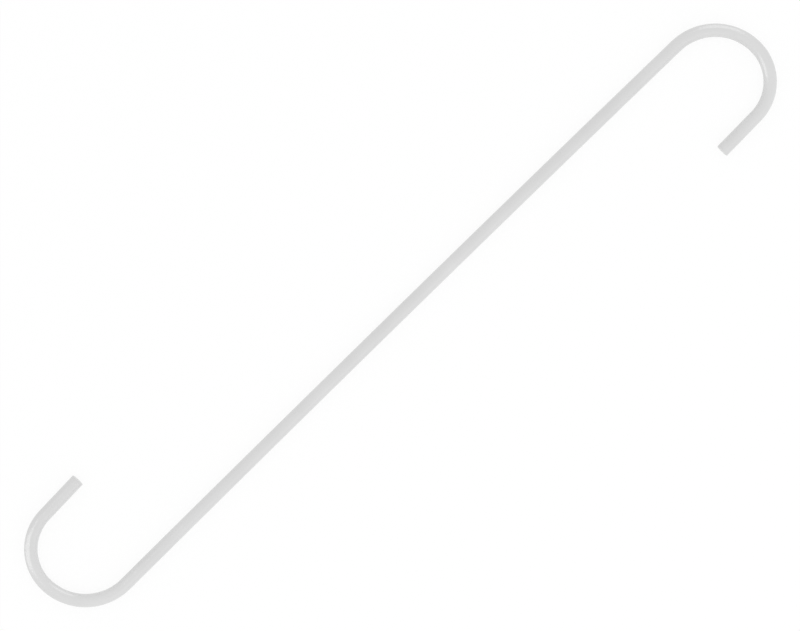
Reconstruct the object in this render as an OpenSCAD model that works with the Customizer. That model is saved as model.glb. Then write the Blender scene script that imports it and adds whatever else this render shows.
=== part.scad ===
// Long S hook, bent from one round wire and coated all over.
//
// The shank lies along X and the whole hook lies flat on Z = 0. Seen from above,
// the hook at the +X end turns towards -Y and the one at the -X end towards +Y,
// so half a turn about Z brings the part onto itself. Millimetres and degrees.

/* [Wire] */
// Diameter of the wire, over its coating
wire_d = 4.5; // [3:0.1:8]
// Rounding of the cut rim at each end of the wire
rim_r = 0.3; // [0.1:0.1:1.4]

/* [Length] */
// Length over the crowns, the outermost points of the two hooks
overall_length = 300; // [150:1:500]

/* [Hooks] */
// Inside radius of the quarter bend from the shank to the crown
shoulder_inner_r = 16.8; // [8:0.1:25]
// Inside radius of the tighter bend from the crown to the lip
return_inner_r = 14.2; // [8:0.1:25]
// Angle by which the lip opens away from the shank
lip_flare = 1.8; // [0:0.1:20]
// Length of the straight lip, from the bend to its end face
lip_length = 16.4; // [5:0.1:60]

/* [Hidden] */
$fn = 96;

// The wire swells by this much in radius where it is bent. A straight run reaches
// into the bends, so each join is a clean step and not two faces that nearly meet.
swell = 0.01;
reach = 0.3;

wire_r = wire_d / 2;
bend_wire_r = wire_r + swell;
// Radii and sweeps of the wire's centre line
shoulder_r = shoulder_inner_r + bend_wire_r;
return_r = return_inner_r + bend_wire_r;
shoulder_sweep = 90;
return_sweep = 90 - lip_flare;
// Where the centre line crosses the crown, and where the straight shank ends
crown_x = overall_length / 2 - bend_wire_r;
shank_half = crown_x - shoulder_r;

// A bend that leaves the origin along +X and turns towards -Y.
module bend(r, sweep)
    translate([0, -r, 0])
        rotate_extrude(angle = sweep, start = 90 - sweep)
            translate([r, 0])
                circle(r = bend_wire_r);

// Puts its children where such a bend ends, heading on along their own +X.
module after_bend(r, sweep)
    translate([0, -r, 0])
        rotate([0, 0, -sweep])
            translate([0, r, 0])
                children();

// A straight run of wire along +X, between two places on it.
module run(from, to)
    translate([from, 0, 0])
        rotate([0, 90, 0])
            cylinder(r = wire_r, h = to - from);

// Half the outline of the wire's end, up the Y axis: a flat face in a rounded rim.
module end_outline() {
    square([wire_r - rim_r, rim_r]);
    translate([wire_r - rim_r, 0])
        intersection() {
            circle(r = rim_r);
            square(rim_r);
        }
}

// The straight lip, from the end of its bend to its end face.
module lip() {
    run(-reach, lip_length - rim_r);
    translate([lip_length - rim_r, 0, 0])
        rotate([0, 90, 0])
            rotate_extrude()
                end_outline();
}

// One hook about its crown, which is at the origin: the shoulder leads to the
// shank on the -X side and the return bend to the lip on the +X side.
module hook() {
    mirror([1, 0, 0])
        bend(shoulder_r, shoulder_sweep);
    bend(return_r, return_sweep);
    after_bend(return_r, return_sweep)
        lip();
}

module s_hook()
    color("gainsboro")
        translate([0, 0, bend_wire_r]) {
            run(-shank_half - reach, shank_half + reach);
            for (half_turn = [0, 180])
                rotate([0, 0, half_turn])
                    translate([crown_x, -shoulder_r, 0])
                        rotate([0, 0, -90])
                            hook();
        }

s_hook();
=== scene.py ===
"""Long S hook of powder-coated round wire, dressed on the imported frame.

The wire is walked from the middle of its shank out to each lip, as a bending machine feeds and
bends it. Its two cut ends are eased, and its skin is dressed as a baked polyester powder coat.
Lengths are in metres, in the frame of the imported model: the shank lies along X, and Z is up.
"""

import logging
import math
from dataclasses import dataclass
from enum import Enum

import bmesh
import bpy
from mathutils import Matrix, Vector


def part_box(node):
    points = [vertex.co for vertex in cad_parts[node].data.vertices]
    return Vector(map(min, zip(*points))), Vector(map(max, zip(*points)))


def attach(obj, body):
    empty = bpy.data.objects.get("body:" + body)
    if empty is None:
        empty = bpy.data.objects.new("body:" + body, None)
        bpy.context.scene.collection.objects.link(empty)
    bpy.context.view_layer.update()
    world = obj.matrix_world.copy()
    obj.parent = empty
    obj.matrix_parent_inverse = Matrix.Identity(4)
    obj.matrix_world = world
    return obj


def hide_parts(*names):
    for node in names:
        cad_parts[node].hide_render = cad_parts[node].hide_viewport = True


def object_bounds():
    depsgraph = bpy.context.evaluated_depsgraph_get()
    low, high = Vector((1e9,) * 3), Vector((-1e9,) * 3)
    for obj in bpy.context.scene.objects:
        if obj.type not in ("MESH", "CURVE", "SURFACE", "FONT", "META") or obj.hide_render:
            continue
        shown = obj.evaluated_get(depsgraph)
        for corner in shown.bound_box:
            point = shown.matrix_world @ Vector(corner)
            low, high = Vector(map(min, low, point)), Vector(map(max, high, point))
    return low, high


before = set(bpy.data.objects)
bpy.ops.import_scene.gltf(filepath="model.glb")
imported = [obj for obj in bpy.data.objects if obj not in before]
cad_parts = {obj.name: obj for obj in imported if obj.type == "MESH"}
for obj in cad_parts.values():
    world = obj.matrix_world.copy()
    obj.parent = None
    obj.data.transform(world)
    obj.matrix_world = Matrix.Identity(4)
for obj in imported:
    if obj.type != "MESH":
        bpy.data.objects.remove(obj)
CAD_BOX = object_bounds()

MM = 0.001
UP = Vector((0, 0, 1))
QUARTER_TURN = math.pi / 2
NODE = "s_hook"
BODY = "root"
SIDE = "side"
ALONG = "along"
WHITE = "#FFFFFF"
NOISE_SWING = 0.4  # a noise keeps within about this much of its range from 0 to 1

log = logging.getLogger("s_hook")


class Turn(Enum):
    """Which way the wire turns as it is walked, seen from above."""

    LEFT = 1
    RIGHT = -1


class Seen(Enum):
    """What a lamp shows up in."""

    EVERYTHING = "everything"
    GLOSS_ONLY = "gloss only"


def linear(colour: str) -> tuple[float, float, float, float]:
    """Turns an sRGB hex colour into a linear one, by the curve that defines sRGB.

    Args:
        colour: The colour, such as "#D8D8D8".

    Returns:
        Red, green, blue and an alpha of 1.
    """
    channels = (int(colour[start : start + 2], 16) / 255 for start in (1, 3, 5))
    return *(c / 12.92 if c <= 0.04045 else ((c + 0.055) / 1.055) ** 2.4 for c in channels), 1.0


def toward(azimuth: float, elevation: float) -> Vector:
    """Gives the direction from the object to a place in the room.

    Args:
        azimuth: Degrees from +X towards +Y.
        elevation: Degrees above the floor.

    Returns:
        A unit vector.
    """
    turn, rise = math.radians(azimuth), math.radians(elevation)
    level = Vector((math.cos(turn), math.sin(turn), 0)) * math.cos(rise)
    return level + UP * math.sin(rise)


def add_node(
    tree: bpy.types.NodeTree,
    kind: str,
    settings: dict[str, object] | None = None,
    inputs: dict[str, object] | None = None,
) -> bpy.types.Node:
    """Adds a shader node with its settings and links.

    Args:
        tree: The node tree that it goes in.
        kind: Its Blender type, such as "ShaderNodeBump".
        settings: Its own properties, by name.
        inputs: For each input, by identifier, a value or the output socket that feeds it.

    Returns:
        The new node.
    """
    node = tree.nodes.new(kind)
    for name, value in (settings or {}).items():
        setattr(node, name, value)
    sockets = {socket.identifier: socket for socket in node.inputs}
    for identifier, value in (inputs or {}).items():
        if isinstance(value, bpy.types.NodeSocket):
            tree.links.new(value, sockets[identifier])
        else:
            sockets[identifier].default_value = value
    return node


def add_object(name: str, data: bpy.types.ID) -> bpy.types.Object:
    """Puts a mesh, lamp or camera into the scene, at the origin.

    Args:
        name: The object's name.
        data: What it shows.

    Returns:
        The new object.
    """
    thing = bpy.data.objects.new(name, data)
    bpy.context.scene.collection.objects.link(thing)
    return thing


@dataclass(frozen=True)
class PolyesterPowderCoat:
    """Polyester powder coat on steel wire: sprayed on dry, then baked until it melts and flows.

    To the eye it is a closed pale skin with a soft semi-gloss. The melt never levels fully, so a
    faint orange peel wavers the edge of each highlight. The film is thicker in some places than
    in others, which shifts its tone and its gloss a little, and the melt draws back from the rims
    of the cuts. Towards the two far ends of the part the tone is made lighter and the gloss higher.

    The tone lightens and the gloss rises from lighter_ends_start to lighter_ends_full, both
    measured in from a far end, and the film thins over rim_reach towards a cut. The shares are
    how much each does so, on a scale where thin film is 0 and thick film is 1.
    """

    name: str = "polyester_powder_coat"
    thick_film: str = "#DBDBDB"
    thin_film: str = "#D2D2D2"
    ior: float = 1.5
    thick_roughness: float = 0.24
    thin_roughness: float = 0.30
    film_wave: float = 14 * MM
    lighter_ends_start: float = 20 * MM
    lighter_ends_full: float = 8 * MM
    lighter_ends_share: float = 0.28
    rim_reach: float = 1.2 * MM
    rim_share: float = 0.4
    peel_wave: float = 2.0 * MM
    peel_height: float = 0.03 * MM  # a deep peel, so that it still shows

    def film(
        self, tree: bpy.types.NodeTree, place: bpy.types.NodeSocket, far_end: float, cut: float
    ) -> bpy.types.NodeSocket:
        """Adds the nodes that say how thick the film is, with a lighter, glossier stretch towards
        each far end.

        Args:
            tree: The coat's node tree.
            place: The Object coordinates.
            far_end: How far out along X the part reaches.
            cut: How far along the skin its flat ends are, from the middle of the shank.

        Returns:
            The film's thickness with the lighter far ends added, from 0 for thin to 1 for thick.
        """
        drift = add_node(tree, "ShaderNodeTexNoise", inputs={
            "Vector": place,
            "Scale": 1 / self.film_wave,
        }).outputs["Fac"]
        x = add_node(tree, "ShaderNodeSeparateXYZ", inputs={"Vector": place}).outputs["X"]
        out = add_node(tree, "ShaderNodeMath", {"operation": "ABSOLUTE"}, {
            "Value": x,
        }).outputs["Value"]
        # Lighter tone and lower roughness towards the two far ends of the hook, over its bends.
        lighter_ends = add_node(tree, "ShaderNodeMapRange", inputs={
            "Value": out,
            "From Min": far_end - self.lighter_ends_start,
            "From Max": far_end - self.lighter_ends_full,
            "To Max": self.lighter_ends_share,
        }).outputs["Result"]
        walked = add_node(tree, "ShaderNodeAttribute", {"attribute_name": ALONG}).outputs["Fac"]
        along = add_node(tree, "ShaderNodeMath", {"operation": "ABSOLUTE"}, {
            "Value": walked,
        }).outputs["Value"]
        drawn_back = add_node(tree, "ShaderNodeMapRange", inputs={
            "Value": along,
            "From Min": cut - self.rim_reach,
            "From Max": cut,
            "To Max": self.rim_share,
        }).outputs["Result"]
        thick = add_node(tree, "ShaderNodeMath", {"operation": "ADD"}, {
            "Value": drift,
            "Value_001": lighter_ends,
        }).outputs["Value"]
        return add_node(tree, "ShaderNodeMath", {"operation": "SUBTRACT", "use_clamp": True}, {
            "Value": thick,
            "Value_001": drawn_back,
        }).outputs["Value"]

    def material(self, far_end: float, cut: float) -> bpy.types.Material:
        """Builds the coat as a material that reads Object coordinates and the layer ALONG.

        Args:
            far_end: How far out along X the part reaches.
            cut: How far along the skin its flat ends are, from the middle of the shank.

        Returns:
            The material.
        """
        coat = bpy.data.materials.new(self.name)
        coat.use_nodes = True
        tree = coat.node_tree
        tree.nodes.clear()
        place = add_node(tree, "ShaderNodeTexCoord").outputs["Object"]
        film = self.film(tree, place, far_end, cut)
        tone = add_node(tree, "ShaderNodeMixRGB", inputs={
            "Fac": film,
            "Color1": linear(self.thin_film),
            "Color2": linear(self.thick_film),
        }).outputs["Color"]
        gloss = add_node(tree, "ShaderNodeMapRange", inputs={
            "Value": film,
            "To Min": self.thin_roughness,
            "To Max": self.thick_roughness,
        }).outputs["Result"]
        peel = add_node(tree, "ShaderNodeTexNoise", inputs={
            "Vector": place,
            "Scale": 1 / self.peel_wave,
            "Detail": 1.0,
        }).outputs["Fac"]
        relief = add_node(tree, "ShaderNodeBump", inputs={
            "Height": peel,
            "Distance": self.peel_height / NOISE_SWING,
        }).outputs["Normal"]
        skin = add_node(tree, "ShaderNodeBsdfPrincipled", inputs={
            "Base Color": tone,
            "Roughness": gloss,
            "IOR": self.ior,
            "Normal": relief,
        }).outputs["BSDF"]
        add_node(tree, "ShaderNodeOutputMaterial", inputs={"Surface": skin})
        return coat


@dataclass
class WireFeed:
    """The free end of a wire: a ring that sweeps out the wire's skin as it is fed and bent.

    Every vertex keeps its place round the wire in the layer SIDE, which a sweep hands on, and its
    place along the wire's skin, from the middle of the shank, in the layer ALONG.
    """

    mesh: bmesh.types.BMesh
    ring: list[bmesh.types.BMVert | bmesh.types.BMEdge]
    at: Vector
    heading: Vector
    radius: float
    way: int
    along: float = 0.0
    ring_gap: float = 2.5 * MM
    bend_gap: float = math.radians(2)
    rim_steps: int = 6

    def verts(self) -> list[bmesh.types.BMVert]:
        """Gives the vertices of the ring."""
        return [part for part in self.ring if isinstance(part, bmesh.types.BMVert)]

    def sweep(self, length: float, angle: float = 0.0, skin: float | None = None) -> None:
        """Feeds one step of wire, bent evenly, which leaves a band of skin behind the ring.

        The ring turns about its own middle and moves along the step's chord. A spin turns its
        dvec by the whole angle, so the chord goes in turned back by half of it.

        Args:
            length: How much wire goes by.
            angle: How far it bends, counterclockwise from above.
            skin: How much skin goes by, where that isn't the same.
        """
        half_turn = Matrix.Rotation(angle / 2, 3, UP)
        chord = length * (math.sin(angle / 2) / (angle / 2) if angle else 1)
        onward = half_turn.inverted() @ self.heading * chord
        self.ring = bmesh.ops.spin(
            self.mesh, geom=self.ring, cent=self.at, axis=UP, angle=angle, dvec=onward, steps=1
        )["geom_last"]
        self.at = self.at + half_turn @ self.heading * chord
        self.heading = half_turn @ half_turn @ self.heading
        self.along += self.way * (length if skin is None else skin)
        mark = self.mesh.verts.layers.float[ALONG]
        for vert in self.verts():
            vert[mark] = self.along

    def run(self, length: float) -> None:
        """Feeds a straight length.

        Args:
            length: How much wire goes by.
        """
        steps = math.ceil(length / self.ring_gap)
        for _ in range(steps):
            self.sweep(length / steps)

    def bend(self, radius: float, angle: float, turn: Turn) -> None:
        """Bends the wire round a pin.

        Args:
            radius: The bend's radius, to the middle of the wire.
            angle: How far it bends.
            turn: Which way.
        """
        length = radius * angle
        steps = math.ceil(max(length / self.ring_gap, angle / self.bend_gap))
        for _ in range(steps):
            self.sweep(length / steps, turn.value * angle / steps)

    def ease(self, rim: float) -> None:
        """Rounds the rim of the cut end and closes the end with a flat face.

        Args:
            rim: The radius of the rounding.
        """
        full = self.radius
        arc = QUARTER_TURN / self.rim_steps
        for step in range(self.rim_steps):
            now, after = step * arc, (step + 1) * arc
            self.sweep(rim * (math.sin(after) - math.sin(now)), skin=rim * arc)
            radius = full - rim * (1 - math.cos(after))
            bmesh.ops.scale(
                self.mesh,
                vec=Vector((1, 1, 1)) * (radius / self.radius),
                space=Matrix.Translation(-self.at),
                verts=self.verts(),
            )
            self.radius = radius
        edges = [part for part in self.ring if isinstance(part, bmesh.types.BMEdge)]
        bmesh.ops.edgeloop_fill(self.mesh, edges=edges)


@dataclass(frozen=True)
class UnrolledMap:
    """A UV map of the wire's skin, slit along its underside and laid out as strips.

    Each strip is a stretch of the wire's skin, as long as it is along the middle of the wire. The
    flat faces of the two ends lie in the corner that the strips leave free. Nothing in it
    overlaps or is mirrored.
    """

    radius: float
    half_skin: float
    ring_gap: float
    sides: int
    name: str = "OFBake"
    strips: int = 5
    gap: float = 1.2 * MM

    def strip(self) -> float:
        """Gives the length of skin that a strip takes."""
        return 2 * self.half_skin / self.strips

    def round_wire(self) -> float:
        """Gives the way round the wire, which is a strip's width."""
        return 2 * math.pi * self.radius

    def square(self) -> float:
        """Gives the side of the square that holds it all. A ring may run past a strip's end."""
        return self.strip() + self.ring_gap + 2 * self.gap

    def on_strip(self, number: int, along: float, side: int) -> Vector:
        """Places a point of the wire's side.

        Args:
            number: The strip that it lies on.
            along: How far along the skin it is, from the middle of the shank.
            side: Its place round the wire.

        Returns:
            Its place in the map, in metres.
        """
        across = number * (self.round_wire() + self.gap) + self.round_wire() * side / self.sides
        return Vector((along + self.half_skin - number * self.strip(), across)) + self.corner()

    def on_disc(self, number: int, reach: float, side: int) -> Vector:
        """Places a point of an end's flat face.

        Args:
            number: 0 for the first end and 1 for the last, which faces the other way.
            reach: How far it is from the middle of the face.
            side: Its place round the wire.

        Returns:
            Its place in the map, in metres.
        """
        turn = 2 * math.pi * side / self.sides * (-1 if number else 1)
        spoke = Vector((math.cos(turn), math.sin(turn))) * reach
        beside = self.radius + number * (2 * self.radius + self.gap)
        above = self.radius + self.strips * (self.round_wire() + self.gap)
        return Vector((beside, above)) + self.corner() + spoke

    def corner(self) -> Vector:
        """Gives the margin along the map's left and lower edges."""
        return Vector((self.gap, self.gap))

    def lay_out(self, mesh: bmesh.types.BMesh) -> None:
        """Writes the map.

        Args:
            mesh: The finished wire, with its layers SIDE and ALONG.
        """
        side = mesh.verts.layers.int[SIDE]
        along = mesh.verts.layers.float[ALONG]
        uv = mesh.loops.layers.uv.new(self.name)
        for face in mesh.faces:
            middle = sum(vert[along] for vert in face.verts) / len(face.verts)
            flat_end = len(face.verts) == self.sides
            reach = (face.verts[0].co - face.calc_center_median()).length
            strip = min(int((middle + self.half_skin) / self.strip()), self.strips - 1)
            slit = {0, self.sides - 1} <= {vert[side] for vert in face.verts}
            for loop in face.loops:
                place = loop.vert[side]
                if flat_end:
                    spot = self.on_disc(int(middle > 0), reach, place)
                else:
                    past_slit = self.sides if slit and place == 0 else 0
                    spot = self.on_strip(strip, loop.vert[along], place + past_slit)
                loop[uv].uv = spot / self.square()


@dataclass(frozen=True)
class SHook:
    """One bent wire: a shank and, at each end, a shoulder bend, a return bend and a straight lip.

    The sizes are those of the CAD solid, and the bends' radii run to the middle of the wire. The
    bow is this one hook's own: from end to end its shank droops a little to one side.
    """

    wire_radius: float = 2.25 * MM
    rim_radius: float = 0.3 * MM
    shoulder_radius: float = 19.05 * MM
    return_radius: float = 16.45 * MM
    lip_flare: float = math.radians(1.8)
    lip_length: float = 16.4 * MM
    shank_bow: float = 0.47 * MM
    sides: int = 64
    coat: PolyesterPowderCoat = PolyesterPowderCoat()

    def shank_half(self) -> float:
        """Gives half the shank's length, which is what the bends leave of the whole."""
        low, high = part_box(NODE)
        return (high.x - low.x) / 2 - self.wire_radius - self.shoulder_radius

    def half_skin(self) -> float:
        """Gives how long the skin is from the middle of the shank to the flat face of an end.

        Returns:
            The length along the middle of the wire, then over the rim.
        """
        shoulder = self.shoulder_radius * QUARTER_TURN
        back = self.return_radius * (QUARTER_TURN - self.lip_flare)
        lip = self.lip_length - self.rim_radius + self.rim_radius * QUARTER_TURN
        return self.shank_half() + shoulder + back + lip

    def walk(self, feed: WireFeed, bow: Turn) -> None:
        """Feeds and bends half the wire, from the middle of the shank to the end of a lip.

        Args:
            feed: The ring at the middle of the shank.
            bow: Which way the shank droops on the way out.
        """
        half = self.shank_half()
        bow_radius = half**2 / (2 * self.shank_bow)
        feed.bend(bow_radius, half / bow_radius, bow)
        feed.bend(self.shoulder_radius, QUARTER_TURN, Turn.RIGHT)
        feed.bend(self.return_radius, QUARTER_TURN - self.lip_flare, Turn.RIGHT)
        feed.run(self.lip_length - self.rim_radius)
        feed.ease(self.rim_radius)

    def settle(self, mesh: bmesh.types.BMesh) -> None:
        """Moves the wire to the middle of its CAD node's box, down on the floor.

        Args:
            mesh: The finished wire.
        """
        low, high = (
            Vector(pick(vert.co[axis] for vert in mesh.verts) for axis in range(3))
            for pick in (min, max)
        )
        cad_low, cad_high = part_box(NODE)
        shift = (cad_low + cad_high - low - high) / 2
        shift.z = cad_low.z - low.z
        bmesh.ops.translate(mesh, vec=shift, verts=mesh.verts[:])

    def build(self) -> bpy.types.Object:
        """Builds the wire's mesh and puts it in the scene.

        The first ring stands across the shank, numbered from its underside.

        Returns:
            The wire.
        """
        wire = bmesh.new()
        side = wire.verts.layers.int.new(SIDE)
        wire.verts.layers.float.new(ALONG)
        across = Matrix.Rotation(-QUARTER_TURN, 4, "Y") @ Matrix.Rotation(QUARTER_TURN, 4, "Z")
        bmesh.ops.create_circle(wire, segments=self.sides, radius=self.wire_radius, matrix=across)
        ring = [*wire.verts, *wire.edges]
        for number, vert in enumerate(wire.verts):
            vert[side] = number
        for way, bow in ((1, Turn.RIGHT), (-1, Turn.LEFT)):
            feed = WireFeed(wire, ring, Vector(), Vector((way, 0, 0)), self.wire_radius, way)
            self.walk(feed, bow)
        bmesh.ops.recalc_face_normals(wire, faces=wire.faces[:])
        self.settle(wire)
        UnrolledMap(self.wire_radius, self.half_skin(), WireFeed.ring_gap, self.sides).lay_out(wire)
        for face in wire.faces:
            face.smooth = True
        skin = bpy.data.meshes.new("coated_wire")
        wire.to_mesh(skin)
        wire.free()
        return add_object("coated_wire", skin)

    def dress(self, piece: bpy.types.Object) -> None:
        """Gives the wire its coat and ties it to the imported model.

        Args:
            piece: The wire.
        """
        far_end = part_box(NODE)[1].x
        piece.data.materials.append(self.coat.material(far_end, self.half_skin()))
        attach(piece, BODY)
        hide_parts(NODE)


def shown_rays(tree: bpy.types.NodeTree) -> bpy.types.NodeSocket:
    """Adds a switch that is 1 for the rays that a white background shows in, and 0 for its light.

    Args:
        tree: The node tree of the floor or the world.

    Returns:
        The switch's output.
    """
    path = add_node(tree, "ShaderNodeLightPath").outputs
    mirrored = add_node(tree, "ShaderNodeMath", {"operation": "MAXIMUM"}, {
        "Value": path["Is Glossy Ray"],
        "Value_001": path["Is Transmission Ray"],
    }).outputs["Value"]
    return add_node(tree, "ShaderNodeMath", {"operation": "MAXIMUM"}, {
        "Value": path["Is Camera Ray"],
        "Value_001": mirrored,
    }).outputs["Value"]


@dataclass(frozen=True)
class MattBoard:
    """The floor: a board in matt white emulsion, which is flat and has no gloss.

    It shows white wherever it is seen, less a share that keeps the object's shadow on it.
    """

    half_width: float = 1.5
    paint: str = WHITE
    white_share: float = 0.88

    def material(self) -> bpy.types.Material:
        """Builds the board's paint.

        Returns:
            The material.
        """
        paint = bpy.data.materials.new("matt_white_emulsion")
        paint.use_nodes = True
        tree = paint.node_tree
        tree.nodes.clear()
        shade = add_node(tree, "ShaderNodeBsdfDiffuse", inputs={
            "Color": linear(self.paint),
        }).outputs["BSDF"]
        white = add_node(tree, "ShaderNodeEmission", inputs={
            "Color": linear(WHITE),
            "Strength": 1.0,
        }).outputs["Emission"]
        share = add_node(tree, "ShaderNodeMath", {"operation": "MULTIPLY"}, {
            "Value": shown_rays(tree),
            "Value_001": self.white_share,
        }).outputs["Value"]
        both = add_node(tree, "ShaderNodeMixShader", inputs={
            "Fac": share,
            "Shader": shade,
            "Shader_001": white,
        }).outputs["Shader"]
        add_node(tree, "ShaderNodeOutputMaterial", inputs={"Surface": both})
        return paint

    def build(self) -> bpy.types.Object:
        """Builds the board, with its top where the object stands.

        Returns:
            The board.
        """
        board = bmesh.new()
        bmesh.ops.create_grid(board, x_segments=1, y_segments=1, size=self.half_width)
        bmesh.ops.translate(board, vec=UP * CAD_BOX[0].z, verts=board.verts[:])
        top = bpy.data.meshes.new("floor")
        board.to_mesh(top)
        board.free()
        top.materials.append(self.material())
        floor = add_object("floor", top)
        return floor


@dataclass(frozen=True)
class Softbox:
    """A softbox that faces the object. A radiance of 1 is as bright as the white background."""

    name: str
    azimuth: float
    elevation: float
    distance: float
    width: float
    height: float
    radiance: float
    seen: Seen = Seen.EVERYTHING

    def build(self) -> bpy.types.Object:
        """Builds the lamp and turns it to the object.

        Returns:
            The lamp.
        """
        panel = bpy.data.lights.new(self.name, "AREA")
        panel.shape = "RECTANGLE"
        panel.size, panel.size_y = self.width, self.height
        panel.energy = self.radiance * math.pi * self.width * self.height
        lamp = add_object(self.name, panel)
        lamp.location = toward(self.azimuth, self.elevation) * self.distance
        lamp.rotation_euler = lamp.location.to_track_quat("Z", "Y").to_euler()
        lamp.visible_camera = False
        lamp.visible_diffuse = self.seen is Seen.EVERYTHING
        return lamp


@dataclass(frozen=True)
class Studio:
    """A light tent: even light from all round, softboxes, and a white background."""

    tent_level: float = 0.95
    softboxes: tuple[Softbox, ...] = (
        Softbox(
            "fill", azimuth=262, elevation=40, distance=0.8, width=0.9, height=0.65,
            radiance=0.35,
        ),
        Softbox(
            "left_strip", azimuth=147, elevation=29, distance=0.65, width=0.34, height=0.75,
            radiance=2.7, seen=Seen.GLOSS_ONLY,
        ),
        Softbox(
            "far_strip", azimuth=29, elevation=20, distance=0.7, width=0.38, height=0.56,
            radiance=2.15, seen=Seen.GLOSS_ONLY,
        ),
    )

    def build_tent(self) -> None:
        """Builds the world."""
        tent = bpy.data.worlds.new("light_tent")
        tent.use_nodes = True
        tree = tent.node_tree
        tree.nodes.clear()
        light = add_node(tree, "ShaderNodeBackground", inputs={
            "Color": linear(WHITE),
            "Strength": self.tent_level,
        }).outputs["Background"]
        white = add_node(tree, "ShaderNodeBackground", inputs={
            "Color": linear(WHITE),
            "Strength": 1.0,
        }).outputs["Background"]
        both = add_node(tree, "ShaderNodeMixShader", inputs={
            "Fac": shown_rays(tree),
            "Shader": light,
            "Shader_001": white,
        }).outputs["Shader"]
        add_node(tree, "ShaderNodeOutputWorld", inputs={"Surface": both})
        bpy.context.scene.world = tent

    def build(self) -> None:
        """Builds the tent, the floor and the softboxes."""
        self.build_tent()
        MattBoard().build()
        for softbox in self.softboxes:
            softbox.build()
        bpy.context.scene.view_settings.view_transform = "Standard"


@dataclass(frozen=True)
class LookDownCamera:
    """A camera straight above the hook, turned so that the shank rises to the right.

    It aims a little off the middle of the hook, by aim_right and aim_up in the picture. The lens
    and the sensor are in millimetres.
    """

    lens: float = 180.0
    sensor: float = 36.0
    turn: float = math.radians(44.35)
    view_width: float = 267.6 * MM
    aim_right: float = -0.085 * MM
    aim_up: float = -0.10 * MM

    def build(self) -> bpy.types.Object:
        """Builds the camera and makes it the scene's own.

        Returns:
            The camera.
        """
        eye = bpy.data.cameras.new("camera")
        eye.lens, eye.sensor_width = self.lens, self.sensor
        camera = add_object("camera", eye)
        distance = self.view_width * self.lens / self.sensor
        middle = (CAD_BOX[0] + CAD_BOX[1]) / 2
        turned = Matrix.Rotation(-self.turn, 3, UP)
        camera.location = middle + turned @ Vector((self.aim_right, self.aim_up, distance))
        camera.rotation_euler = (0, 0, -self.turn)
        bpy.context.scene.camera = camera
        return camera


def main() -> None:
    """Builds, dresses, lights and frames the hook."""
    hook = SHook()
    piece = hook.build()
    hook.dress(piece)
    log.info("%s: %d faces", piece.name, len(piece.data.polygons))
    Studio().build()
    LookDownCamera().build()


if __name__ == "__main__":
    logging.basicConfig(level=logging.INFO, format="%(name)s: %(message)s")
    main()
